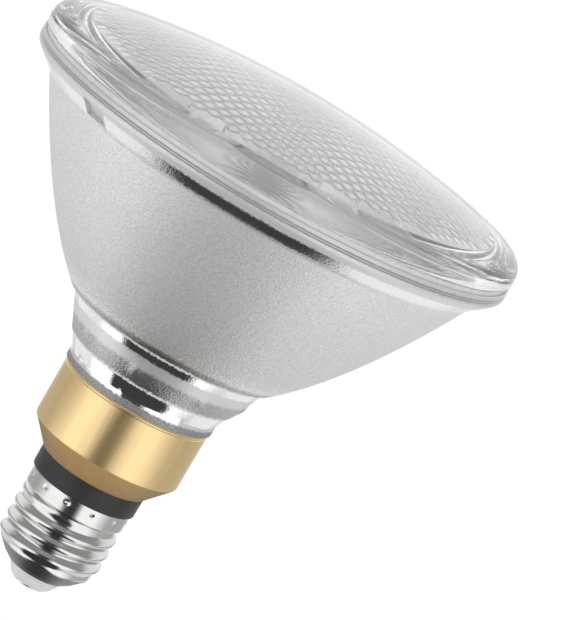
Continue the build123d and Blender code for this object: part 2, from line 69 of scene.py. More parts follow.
# Lugs round the neck and stakes round the collar, with the first stake's angle in degrees
LUG_COUNT = 8
STAKE_COUNT = 12
STAKE_START = -6

# Unevenness of the neck: its depth, and its waves per metre
NECK_WAVE = 0.16 * MM
NECK_WAVES = 190

# Heights of the corners of the glass outside, from the neck up to the mouth of the reflector
Levels = namedtuple("Levels", "neck ridge foot flange rim mouth")

# Finish of the outside of the glass, from the neck up to the mouth of the reflector:
# the corner it is measured from, millimetres over that corner, satin, relief, silvering, tone
# The low tones over the neck's foot, over the ridge, just over the body's foot and round the two
# grooves of the rim are painted shade; the other tones are the glass's own.
GLASS_BANDS = (
    ("neck", 0.0, 0.45, 0.8, 0.6, 0.34),
    ("neck", 1.6, 0.45, 0.8, 0.6, 0.37),
    ("neck", 2.0, 0.06, 0.1, 1.0, 0.95),
    ("ridge", -0.4, 0.06, 0.1, 1.0, 0.95),
    ("ridge", -0.25, 0.5, 0.1, 0.0, 0.9),
    ("ridge", 0.1, 0.5, 0.1, 0.0, 0.9),
    ("ridge", 0.4, 0.28, 0.8, 0.85, 0.45),
    ("ridge", 3.8, 0.3, 0.8, 0.85, 0.52),
    ("ridge", 4.7, 0.42, 0.1, 0.6, 0.78),
    ("foot", -2.9, 0.42, 0.1, 0.6, 0.78),
    ("foot", -2.5, 0.05, 0.2, 1.0, 0.95),
    ("foot", -0.8, 0.05, 0.2, 1.0, 0.95),
    ("foot", -0.6, 0.5, 0.2, 0.0, 0.88),
    ("foot", -0.1, 0.5, 0.2, 0.0, 0.82),
    ("foot", 0.1, 0.25, 1.0, 0.95, 0.45),
    ("foot", 1.2, 0.28, 1.0, 0.92, 0.55),
    ("foot", 2.0, 0.3, 1.0, 0.65, 0.9),
    ("foot", 3.6, 0.36, 1.0, 0.6, 0.82),
    ("foot", 7.0, 0.45, 0.7, 0.55, 0.77),
    ("foot", 22.0, 0.46, 0.6, 0.5, 0.82),
    ("rim", -5.0, 0.46, 0.6, 0.5, 0.89),
    ("rim", -3.9, 0.07, 0.4, 1.0, 0.97),
    ("rim", -1.8, 0.05, 0.25, 1.0, 0.97),
    ("rim", -1.3, 0.36, 0.05, 0.3, 0.78),
    ("rim", 0.6, 0.36, 0.05, 0.3, 0.76),
    ("rim", 0.85, 0.36, 0.05, 0.3, 0.56),
    ("rim", 1.75, 0.36, 0.05, 0.3, 0.56),
    ("rim", 1.95, 0.36, 0.05, 0.3, 0.72),
    ("mouth", 0.0, 0.36, 0.05, 0.3, 0.7),
)

# Brightness of the parts of the studio that gloss and glass show, where 1 is white
BASE_LIGHT = 0.58
TOP_DARK = 0.4
TOP_LIGHT = 1.15
SIDE_LIGHT = 1.5
RIGHT_LIGHT = 0.65
BACK_LIGHT = 0.95
BEHIND_LIGHT = 0.9
FRONT_DARK = 0.06
LOW_DARK = 0.05

# Where those parts lie: each fades in from the first angle to the second, in degrees.
# turn goes round X from the front downwards, right goes towards +X, aside is right without its
# sign, and wedge and fan are aside, slanted with turn.
STUDIO_PARTS = (
    (TOP_DARK, ("turn", -140, -90), ("turn", -28, -48)),
    (TOP_LIGHT, ("turn", -100, -150)),
    (SIDE_LIGHT, ("aside", 14, 24), ("aside", 84, 52), ("turn", -42, -22), ("turn", 120, 90)),
    (RIGHT_LIGHT, ("right", 25, 50), ("turn", 70, 90), ("turn", 150, 130)),
    (BACK_LIGHT, ("aside", 60, 40), ("turn", 106, 116), ("turn", 157, 150)),
    (BEHIND_LIGHT, ("aside", 35, 18), ("turn", 150, 165)),
    (FRONT_DARK, ("aside", 18, 8), ("turn", -60, -40), ("turn", 34, 24)),
    (LOW_DARK, ("wedge", 58, 52), ("fan", 14, 6), ("turn", 22, 34), ("turn", 150, 140)),
)
WEDGE_SLANT = 0.35
FAN_SLANT = 0.3

# Even light on everything else, and the share of white in what shows through glass
SOFT_LIGHT = 0.95
GLASS_LIFT = 0.25

# Floor, and what the camera sees of it: a diffuse grey that a glow lifts to white
FLOOR_SIZE = 6
FLOOR_Z = -0.06
FLOOR_GREY = (0.4, 0.4, 0.4)
FLOOR_GLOW = 0.66

# Camera: focal length and sensor in millimetres, place in metres, and its axes
CAMERA_LENS = 243.87
CAMERA_SENSOR = 36
CAMERA_PLACE = (0.02116, -0.95971, 0.28334)
CAMERA_RIGHT = (0.86113, 0.10073, 0.49831)
CAMERA_UP = (-0.50839, 0.17061, 0.84406)
CAMERA_BACK = (0.0, -0.98018, 0.19813)


def length(name, description, default):
    """Length property in metres, from a default in millimetres."""
    return bpy.props.FloatProperty(
        name=name, description=description, default=default * MM, unit="LENGTH", precision=5
    )


def angle(name, description, default):
    """Angle property in radians, from a default in degrees."""
    return bpy.props.FloatProperty(
        name=name, description=description, default=math.radians(default), unit="ROTATION"
    )


def colour(name, description, default):
    """Colour property."""
    return bpy.props.FloatVectorProperty(
        name=name,
        description=description,
        default=default,
        subtype="COLOR",
        size=3,
        min=0.0,
        max=1.0,
    )


class LampLensSizes(bpy.types.PropertyGroup):
    """Sizes of the lens."""

    edge: length("Edge", "Height of the lens edge", 4.8)
    rise: length("Rise", "Height of the dome over the edge", 7.8)
    wall: length("Wall", "Thickness of the dome", 3.2)
    corner: length("Corner", "Rounding between dome and edge", 3.9)
    tongue: length("Tongue", "Width of the ring that sits inside the reflector", 2.0)
    tongue_gap: length("Tongue gap", "Gap between that ring and the mirror", 0.3)
    dot_pitch: length("Dot pitch", "Distance between the dots inside the lens", 3.5)
    dot_bulge: length("Dot bulge", "Radius of the ball that each dot is a part of", 3.4)
    dot_sink: length("Dot sink", "Depth of the valleys between the dots in the lens", 0.7)
    dot_margin: length("Dot margin", "Plain border round the field of dots", 2.2)
    well_draft: length("Well draft", "How far the wall round the field of dots leans in", 1.0)


class LampGlassSizes(bpy.types.PropertyGroup):
    """Sizes of the glass reflector."""

    flange: length("Flange", "Height of the upright edge of the rim", 2.8)
    flange_width: length("Flange width", "Width of the rim outside the mirror", 4.6)
    flange_slope: length("Flange slope", "Height of the sloping underside of the rim", 5.2)
    groove: length("Groove", "Depth of the two fine grooves round the rim", 0.22)
    groove_height: length("Groove height", "Height of the lower groove over the rim's corner", 1.0)
    groove_pitch: length("Groove pitch", "Distance between the two grooves", 0.6)
    flange_round: length("Flange rounding", "Rounding of the rim's lower corner", 1.5)
    foot: length("Foot", "Radius of the body at its foot", 27.3)
    wall: length("Wall", "Thickness of the glass round the mirror", 2.8)
    neck: length("Neck", "Height of the neck between the skirt and the body", 16.35)
    band: length("Band", "Height of the upright band at the neck's foot", 2.7)
    step: length("Step", "Width of the step between neck and body", 1.2)
    ridge: length("Ridge", "Height of the ridge over the neck's foot", 6.45)
    ridge_step: length("Ridge step", "How far the ridge stands out", 0.35)
    neck_foot: length("Neck foot", "Radius of the neck at its foot", 19.5)
    bore: length("Bore", "Radius of the bore through the neck", 15.8)
    heel: length("Heel", "Radius of the heel inside the skirt", 18.1)
    lug_height: length("Lug height", "Height of the lugs over the neck's foot", 9.45)
    lug_proud: length("Lug", "How far the lugs stand out of the neck", 0.5)
    notch_width: length("Notch width", "Width of the notch in the rim", 7.0)
    notch_height: length("Notch height", "Height of the notch along the slope", 5.0)
    notch_depth: length("Notch depth", "Depth of the notch", 1.0)
    notch_angle: angle("Notch angle", "Where the notch lies round the axis", -131.5)


class LampMetalSizes(bpy.types.PropertyGroup):
    """Sizes of the skirt and the screw cap."""

    skirt_foot: length("Skirt foot", "Radius of the skirt at its foot", 13.7)
    skirt_cone: length("Skirt cone", "Height of the skirt's cone", 6.2)
    skirt_lip: length("Skirt lip", "Width of the lip under the skirt", 1.6)
    skirt_wall: length("Skirt wall", "Thickness of the brass", 0.5)
    pitch: length("Thread pitch", "Distance between two turns of the thread", 3.629)
    depth: length("Thread depth", "Depth of the thread", 1.05)
    thread: length("Thread length", "Height of the thread with its ends", 14.3)
    thread_width: length("Thread width", "Width of one turn of the thread", 3.0)
    thread_start: angle("Thread start", "Where the thread starts round the axis", 150)
    collar: length("Collar", "Height of the collar over the thread", 4.4)
    collar_radius: length("Collar radius", "Radius of the collar", 12.9)
    shell_wall: length("Shell wall", "Thickness of the shell", 0.3)
    nose: length("Nose", "Radius of the lip round the insulator", 7.5)
    knee: length("Knee", "Radius of the bend in the nose", 9.5)
    knee_rise: length("Knee rise", "Height of that bend over the lip", 1.5)
    shoulder: length("Shoulder", "Radius of the shell under the thread", 11.7)
    stake_drop: length("Stake drop", "Distance of the stakes from the edge of the collar", 1.5)
    stake_depth: length("Stake depth", "Depth of the stakes", 0.45)
    stake_size: length("Stake size", "Radius of the stakes", 0.42)


class LampColours(bpy.types.PropertyGroup):
    """Colours of the finishes."""

    glass: colour("Glass", "Clear glass", (0.985, 0.985, 0.985))
    mirror: colour("Mirror", "Aluminium film inside the glass", (0.9, 0.905, 0.91))
    silver: colour("Silver", "Silvered glass seen from outside", (0.9, 0.9, 0.9))
    brass: colour("Brass", "Brushed brass", (0.79, 0.595, 0.305))
    # The cone's darker brass is partly the duller brass of the cone and partly painted shade under
    # the skirt.
    cone: colour("Brass cone", "Dull brass of the skirt's cone", (0.66, 0.425, 0.17))
    nickel: colour("Nickel", "Nickel plate", (0.6, 0.6, 0.59))
    plastic: colour("Plastic", "Dark base plastic", (0.036, 0.036, 0.038))
    insulator: colour("Insulator", "White cap insulator", (0.74, 0.74, 0.735))
    cement: colour("Cement", "Yellowish cement", (0.62, 0.5, 0.2))
    floor: colour("Floor", "Pale studio floor", (0.9, 0.9, 0.9))


# Outlines


def rounded(corners, segments=6):
    """Outline through (radius, height, rounding) corners, with an arc at each rounding."""
    line = [Vector(corners[0][:2])]
    for before, corner, after in zip(corners, corners[1:], corners[2:]):
        here = Vector(corner[:2])
        if not corner[2]:
            line.append(here)
            continue
        back = (Vector(before[:2]) - here).normalized()
        on = (Vector(after[:2]) - here).normalized()
        half = back.angle(on) / 2
        centre = here + (back + on).normalized() * corner[2] / math.sin(half)
        start = here + back * corner[2] / math.tan(half) - centre
        end = here + on * corner[2] / math.tan(half) - centre
        turn = math.atan2(start.cross(end), start.dot(end))
        for i in range(segments + 1):
            line.append(centre + Matrix.Rotation(turn * i / segments, 2) @ start)
    line.append(Vector(corners[-1][:2]))
    return line


def plain(points):
    """Corners without rounding from (radius, height) points."""
    return [(radius, height, 0) for radius, height in points]


def steps_between(start, end, count):
    """Evenly spaced numbers from start to end."""
    return [start + (end - start) * i / count for i in range(count + 1)]


def parabola_radius(low, high, height):
    """Radius at a height of the upright parabola through two (radius, height) points."""
    width = (high[0] ** 2 - low[0] ** 2) / (high[1] - low[1])
    return math.sqrt(low[0] ** 2 + width * (height - low[1]))


def parabola_height(low, high, radius):
    """Height at which that parabola has a radius."""
    width = (high[0] ** 2 - low[0] ** 2) / (high[1] - low[1])
    return low[1] + (radius**2 - low[0] ** 2) / width


def mirror_ends(glass):
    """(radius, height) of the mirror at the body's foot and at the mouth."""
    low = (glass.foot - glass.wall, CEMENT_TOP + glass.neck)
    mouth = (GLASS_HIGH.x - glass.flange_width, GLASS_HIGH.z)
    return low, mouth


def mirror_radius(glass, height):
    """Radius of the mirror at a height, or of the bore under it."""
    low, mouth = mirror_ends(glass)
    bore_z = parabola_height(low, mouth, glass.bore)
    return parabola_radius(low, mouth, max(height, bore_z))


# Modelling


def begin(name):
    """Adds a plane, renames it and collapses it to one vertex in edit mode."""
    bpy.ops.object.select_all(action="DESELECT")
    bpy.ops.mesh.primitive_plane_add(size=MM)
    piece = bpy.context.object
    piece.name = piece.data.name = name
    bpy.ops.object.mode_set(mode="EDIT")
    bpy.ops.mesh.select_mode(type="VERT")
    bpy.ops.mesh.select_all(action="SELECT")
    bpy.ops.mesh.merge(type="CENTER")
    return piece


def lathe(name, outline, steps, slices):
    """Draws an outline of (radius, height) points by extruding a vertex and spins it round Z.

    One slice is spun in small steps and then copied round, which is quicker than one long spin.
    """
    piece = begin(name)
    at = Vector((0, 0, 0))
    for i, (radius, height) in enumerate(outline):
        to = Vector((radius, 0, height))
        if i == 0:
            bpy.ops.transform.translate(value=to)
        else:
            bpy.ops.mesh.extrude_region_move(TRANSFORM_OT_translate={"value": to - at})
        at = to
    bpy.ops.mesh.select_all(action="SELECT")
    slice_angle = 2 * math.pi / slices
    about = {"center": (0, 0, 0), "axis": (0, 0, 1)}
    bpy.ops.mesh.spin(steps=steps // slices, angle=slice_angle, **about)
    bpy.ops.mesh.select_all(action="SELECT")
    bpy.ops.mesh.spin(steps=slices - 1, angle=2 * math.pi - slice_angle, dupli=True, **about)
    bpy.ops.mesh.select_all(action="SELECT")
    bpy.ops.mesh.remove_doubles(threshold=0.002 * MM)
    bpy.ops.mesh.normals_make_consistent(inside=False)
    bpy.ops.object.mode_set(mode="OBJECT")
    return piece


def move_points(piece, place):
    """Moves every vertex of a piece to where a function of its (radius, heading, height) says."""
    for vertex in piece.data.vertices:
        x, y, z = vertex.co
        heading = math.atan2(y, x)
        radius, height = place(math.hypot(x, y), heading, z)
        vertex.co = (radius * math.cos(heading), radius * math.sin(heading), height)
    piece.data.update()


def select_border():
    """Selects the open border of the mesh in edit mode."""
    bpy.ops.mesh.select_mode(type="EDGE")
    bpy.ops.mesh.select_all(action="DESELECT")
    bpy.ops.mesh.select_non_manifold(
        extend=False,
        use_wire=False,
        use_boundary=True,
        use_multi_face=False,
        use_non_contiguous=False,
        use_verts=False,
    )


def smooth(piece, degrees):
    """Shades a piece smooth up to an angle between faces."""
    bpy.ops.object.select_all(action="DESELECT")
    piece.select_set(True)
    bpy.context.view_layer.objects.active = piece
    bpy.ops.object.shade_smooth_by_angle(angle=math.radians(degrees))


def settle(piece, node, slot, *finishes):
    """Gives a piece its finishes and puts it in the place of a CAD node."""
    for finish in finishes:
        piece.data.materials.append(finish)
    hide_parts(node)
    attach(piece, "root")


# Finishes


def new_finish(name):
    """New node material with its tree and its Principled shader."""
    finish = bpy.data.materials.new(name)
    finish.use_nodes = True
    return finish, finish.node_tree, finish.node_tree.nodes["Principled BSDF"]


def fill(tree, made, **sockets):
    """Sets or links the sockets of a node, named with underscores for spaces."""
    for name, value in sockets.items():
        socket = made.inputs[name.replace("_", " ")]
        if isinstance(value, bpy.types.NodeSocket):
            tree.links.new(value, socket)
        else:
            socket.default_value = value


def add_node(tree, kind, **sockets):
    """Adds a node and fills its sockets."""
    made = tree.nodes.new(kind)
    fill(tree, made, **sockets)
    return made


def object_place(tree, scale=(1, 1, 1)):
    """Object coordinates through a Mapping node."""
    coordinates = tree.nodes.new("ShaderNodeTexCoord")
    return add_node(tree, "ShaderNodeMapping", Vector=coordinates.outputs["Object"], Scale=scale)


def grain(tree, place, scale, detail=2.0, roughness=0.5):
    """Noise over a place, as a socket from 0 to 1."""
    made = add_node(
        tree,
        "ShaderNodeTexNoise",
        Vector=place.outputs["Vector"],
        Scale=scale,
        Detail=detail,
        Roughness=roughness,
    )
    return made.outputs["Fac"]


def maths(tree, operation, first, second=0.0):
    """Math node of one or two values."""
    made = tree.nodes.new("ShaderNodeMath")
    made.operation = operation
    for socket, value in zip(made.inputs, (first, second)):
        if isinstance(value, bpy.types.NodeSocket):
            tree.links.new(value, socket)
        else:
            socket.default_value = value
    return made.outputs["Value"]


def spread(tree, value, low, high, from_low=0.3, from_high=0.7):
    """Value mapped to a range."""
    made = add_node(
        tree,
        "ShaderNodeMapRange",
        Value=value,
        From_Min=from_low,
        From_Max=from_high,
        To_Min=low,
        To_Max=high,
    )
    return made.outputs["Result"]


def tint(tree, value, dark, light):
    """Colour between two colours."""
    ramp = tree.nodes.new("ShaderNodeValToRGB")
    tree.links.new(value, ramp.inputs["Fac"])
    ramp.color_ramp.elements[0].color = (*dark, 1)
    ramp.color_ramp.elements[1].color = (*light, 1)
    ramp.color_ramp.elements[0].position = 0.3
    ramp.color_ramp.elements[1].position = 0.7
    return ramp.outputs["Color"]


def relief(tree, height, distance, strength=1.0):
    """Bumped normal."""
    bump = add_node(tree, "ShaderNodeBump", Height=height, Distance=distance, Strength=strength)
    return bump.outputs["Normal"]


def shade(rgb, factor):
    """Colour made darker or lighter."""
    return tuple(min(1.0, part * factor) for part in rgb)


def two_zones(tree, height, low_value, high_value):
    """Value that changes at a height in object coordinates."""
    apart = add_node(tree, "ShaderNodeSeparateXYZ", Vector=object_place(tree).outputs["Vector"])
    half = 0.15 * MM
    return spread(tree, apart.outputs["Z"], low_value, high_value, height - half, height + half)


def scaled(tree, colour_socket, factor):
    """Colour multiplied by a value."""
    made = tree.nodes.new("ShaderNodeVectorMath")
    made.operation = "SCALE"
    tree.links.new(colour_socket, made.inputs["Vector"])
    tree.links.new(factor, made.inputs["Scale"])
    return made.outputs["Vector"]


def clear_glass(rgb):
    """Clear pressed glass with a faint milkiness and unevenness."""
    finish, tree, shader = new_finish("lens_clear_glass")
    place = object_place(tree)
    fill(
        tree,
        shader,
        Transmission_Weight=0.95,
        IOR=1.5,
        Base_Color=tint(tree, grain(tree, place, 60), shade(rgb, 0.985), rgb),
        Roughness=spread(tree, grain(tree, place, 900), 0.03, 0.06),
        Normal=relief(tree, grain(tree, place, 220), 0.02 * MM),
    )
    return finish


def silvered_glass(rgb, stations):
    """Pressed glass silvered behind, by stations of (height, satin, relief, silvering, tone), where
    the low tones are painted shade.
    """
    finish, tree, shader = new_finish("silvered_glass")
    place = object_place(tree)
    apart = add_node(tree, "ShaderNodeSeparateXYZ", Vector=place.outputs["Vector"])
    wobble = spread(tree, grain(tree, place, 1500), -0.25 * MM, 0.25 * MM)
    height = maths(tree, "ADD", apart.outputs["Z"], wobble)
    low, high = stations[0][0], stations[-1][0]
    ramp = tree.nodes.new("ShaderNodeValToRGB")
    tree.links.new(spread(tree, height, 0.0, 1.0, low, high), ramp.inputs["Fac"])
    stops = ramp.color_ramp.elements
    for z, satin, pressed, silvered, tone in stations:
        at = (z - low) / (high - low)
        stop = stops[0] if at == 0.0 else stops[-1] if at == 1.0 else stops.new(at)
        stop.color = (satin, pressed, silvered, tone)
    parts = add_node(tree, "ShaderNodeSeparateColor", Color=ramp.outputs["Color"])
    satin, pressed, silvered = (parts.outputs[name] for name in ("Red", "Green", "Blue"))
    stipple = grain(tree, place, 2000, 2.0, 0.6)
    shadow = maths(tree, "MULTIPLY", spread(tree, stipple, -0.3, 0.16), pressed)
    # The tone carries the painted shade of the low bands, and the stipple's shadow is painted shade
    # in the low points of the relief.
    tone = maths(tree, "MULTIPLY", maths(tree, "ADD", shadow, 1.0), ramp.outputs["Alpha"])
    base = tint(tree, grain(tree, place, 60), shade(rgb, 0.97), rgb)
    fill(
        tree,
        shader,
        Base_Color=scaled(tree, base, tone),
        Roughness=satin,
        Metallic=silvered,
        Normal=relief(tree, stipple, 0.16 * MM, pressed),
    )
    return finish


def mirror_film(rgb):
    """Aluminium film on the inside of the glass."""
    finish, tree, shader = new_finish("mirror_film")
    place = object_place(tree)
    fill(
        tree,
        shader,
        Metallic=1.0,
        Base_Color=tint(tree, grain(tree, place, 90), shade(rgb, 0.96), rgb),
        Roughness=spread(tree, grain(tree, place, 500), 0.02, 0.06),
        Normal=relief(tree, grain(tree, place, 160), 0.03 * MM),
    )
    return finish


def brushed_brass(rgb, cone, cone_top):
    """Brass brushed along the axis, with fine streaks and a duller cone under a height with painted
    shade.
    """
    finish, tree, shader = new_finish("brushed_brass")
    streaks = grain(tree, object_place(tree, (1, 1, 0.03)), 2600, 3.0, 0.65)
    broad = grain(tree, object_place(tree, (1, 1, 0.08)), 420, 2.0)
    low, high = (tint(tree, broad, shade(tone, 0.94), shade(tone, 1.03)) for tone in (cone, rgb))
    base = add_node(
        tree,
        "ShaderNodeMixRGB",
        Fac=two_zones(tree, cone_top, 0.0, 1.0),
        Color1=low,
        Color2=high,
    )
    facing = add_node(tree, "ShaderNodeLayerWeight", Blend=0.5).outputs["Facing"]
    edge = spread(tree, facing, 0.0, 1.0, 0.15, 0.85)
    # Painted shade: on the cone the colour darkens towards its outline as the facing weight grows.
    painted_edge_shade = maths(tree, "MULTIPLY", edge, two_zones(tree, cone_top, 0.6, 0.0))
    dull = two_zones(tree, cone_top, 0.25, 0.0)
    fill(
        tree,
        shader,
        Base_Color=scaled(tree, base.outputs["Color"], maths(tree, "SUBTRACT", 1.0, painted_edge_shade)),
        Metallic=two_zones(tree, cone_top, 0.25, 1.0),
        Roughness=maths(tree, "ADD", spread(tree, streaks, 0.29, 0.37), dull),
        Normal=relief(tree, streaks, 0.007 * MM),
    )
    return finish


def nickel_plate(rgb, nose_top):
    """Bright nickel with fine drawing marks round the shell, and a duller nose under a height whose
    darker colour is painted shade.
    """
    finish, tree, shader = new_finish("nickel_plate")
    base = tint(tree, grain(tree, object_place(tree), 240), shade(rgb, 0.95), shade(rgb, 1.03))
    marks = grain(tree, object_place(tree, (0.1, 0.1, 1)), 2400, 2.0)
    dull = two_zones(tree, nose_top, 0.3, 0.0)
    fill(
        tree,
        shader,
        Metallic=1.0,
        # Painted shade: under the thread the nose's colour is darkened to 0.42 of the nickel.
        Base_Color=scaled(tree, base, two_zones(tree, nose_top, 0.42, 1.0)),
        Roughness=maths(tree, "ADD", spread(tree, marks, 0.1, 0.16), dull),
        Normal=relief(tree, marks, 0.004 * MM),
    )
    return finish


def moulded(name, rgb, rough=(0.38, 0.5), scale=900, bump=0.03, gloss=0.5):
    """Moulded plastic with a fine grain."""
    finish, tree, shader = new_finish(name)
    place = object_place(tree)
    fill(
        tree,
        shader,
        Specular_IOR_Level=gloss,
        Base_Color=tint(tree, grain(tree, place, scale / 3), shade(rgb, 0.93), shade(rgb, 1.05)),
        Roughness=spread(tree, grain(tree, place, scale), *rough),
        Normal=relief(tree, grain(tree, place, scale * 2), bump * MM),
    )
    return finish


def cast_metal(name, rgb, rough=(0.25, 0.4), scale=700):
    """Plain metal with a fine grain."""
    finish, tree, shader = new_finish(name)
    place = object_place(tree)
    fill(
        tree,
        shader,
        Metallic=1.0,
        Base_Color=tint(tree, grain(tree, place, scale / 4), shade(rgb, 0.92), rgb),
        Roughness=spread(tree, grain(tree, place, scale), *rough),
        Normal=relief(tree, grain(tree, place, scale * 2), 0.01 * MM),
    )
    return finish


# Operators


class LAMP_OT_lens(bpy.types.Operator):
    """Models the domed lens with its field of dots"""

    bl_idname = "lamp.lens"
    bl_label = "Lens"

    def execute(self, context):
        sizes = context.scene.lamp_lens
        glass = context.scene.lamp_glass
        colours = context.scene.lamp_colours
        rim = LENS_HIGH.x
        edge_z = SEAL_TOP + sizes.edge
        dome = (rim**2 + sizes.rise**2) / (2 * sizes.rise)
        centre_z = LENS_HIGH.z - dome
        inner = dome - sizes.wall
        tongue_r = mirror_radius(glass, LENS_LOW.z) - sizes.tongue_gap
        well_r = tongue_r - sizes.tongue
        field_r = well_r - sizes.dot_margin
        border_r = field_r + 0.9 * MM
        corner_r = well_r - sizes.well_draft

        def inner_z(radius):
            return centre_z + math.sqrt(inner**2 - radius**2)

        # The turned part gets one step per edge of the field's border, so that both bridge evenly
        field = self.dots(sizes, field_r, inner_z)
        rounds = sum(edge.select for edge in field.data.edges)
        dome_points = [
            (r, centre_z + math.sqrt(dome**2 - r**2)) for r in steps_between(rim - 7 * MM, 0.0, 16)
        ]
        corners = [
            (border_r, inner_z(border_r), 0),
            (corner_r, inner_z(corner_r), 0.4 * MM),
            (well_r, LENS_LOW.z, 0.3 * MM),
            (tongue_r, LENS_LOW.z, 0.3 * MM),
            (tongue_r, SEAL_TOP, 0.4 * MM),
            (rim, SEAL_TOP, 0.5 * MM),
            (rim, edge_z, sizes.corner),
            *plain(dome_points),
        ]
        piece = lathe("lens_glass", rounded(corners, 5), rounds, LENS_SLICES)
        self.join(piece, field)
        smooth(piece, 28)
        settle(piece, "lens", "clear_glass", clear_glass(colours.glass))
        return {"FINISHED"}

    def dots(self, sizes, field_r, base_z):
        """One dot, repeated over a hexagonal lattice, cut to whole dots and laid on the dome."""
        pitch = sizes.dot_pitch
        row = pitch * math.sqrt(3) / 2
        corner = pitch / math.sqrt(3)
        ball = sizes.dot_bulge
        bpy.ops.object.select_all(action="DESELECT")
        bpy.ops.mesh.primitive_circle_add(vertices=6, radius=corner, fill_type="TRIFAN")
        field = bpy.context.object
        field.name = "lens_dots"
        bpy.ops.object.mode_set(mode="EDIT")
        bpy.ops.mesh.select_all(action="SELECT")
        bpy.ops.mesh.subdivide(number_cuts=2)
        bpy.ops.object.mode_set(mode="OBJECT")
        for vertex in field.data.vertices:
            reach = min(vertex.co.xy.length, corner)
            vertex.co.z = math.sqrt(ball**2 - corner**2) - math.sqrt(ball**2 - reach**2)
        across = math.ceil(field_r / pitch)
        pairs = math.ceil(field_r / row / 2)
        moves = [
            ((pitch / 2, row, 0), 2),
            ((pitch, 0, 0), 2 * across + 1),
            ((0, 2 * row, 0), 2 * pairs + 1),
        ]
        for offset, count in moves:
            bpy.ops.object.modifier_add(type="ARRAY")
            array = field.modifiers[-1]
            array.use_relative_offset = False
            array.use_constant_offset = True
            array.constant_offset_displace = offset
            array.count = count
            array.use_merge_vertices = True
            array.merge_threshold = 0.01 * MM
            bpy.ops.object.modifier_apply(modifier=array.name)
        shift = Vector((-pitch * across, -2 * row * pairs, 0))
        bpy.ops.object.mode_set(mode="EDIT")
        bpy.ops.mesh.select_all(action="SELECT")
        bpy.ops.mesh.remove_doubles(threshold=0.01 * MM)
        bpy.ops.transform.translate(value=shift)
        bpy.ops.mesh.select_mode(type="FACE")
        bpy.ops.mesh.select_all(action="DESELECT")
        bpy.ops.object.mode_set(mode="OBJECT")
        for face in field.data.polygons:
            middle = self.nearest_dot(face.center, pitch, row)
            face.select = middle.length + corner > field_r
        bpy.ops.object.mode_set(mode="EDIT")
        bpy.ops.mesh.delete(type="FACE")
        select_border()
        bpy.ops.object.mode_set(mode="OBJECT")
        for vertex in field.data.vertices:
            vertex.co.z += base_z(vertex.co.xy.length) + sizes.dot_sink
        return field

    def nearest_dot(self, place, pitch, row):
        """Middle of the dot that a place belongs to."""
        line = round(place.y / row)
        found = []
        for j in (line - 1, line, line + 1):
            start = pitch / 2 if j % 2 else 0.0
            i = round((place.x - start) / pitch)
            found.append(Vector((start + i * pitch, j * row)))
        return min(found, key=lambda middle: (middle - place.xy).length)

    def join(self, piece, field):
        """Joins the dots to the turned part of the lens and bridges the gap between them."""
        bpy.ops.object.select_all(action="DESELECT")
        field.select_set(True)
        piece.select_set(True)
        bpy.context.view_layer.objects.active = piece
        bpy.ops.object.join()
        bpy.ops.object.mode_set(mode="EDIT")
        select_border()
        bpy.ops.mesh.bridge_edge_loops()
        bpy.ops.mesh.select_all(action="SELECT")
        bpy.ops.mesh.normals_make_consistent(inside=False)
        bpy.ops.object.mode_set(mode="OBJECT")


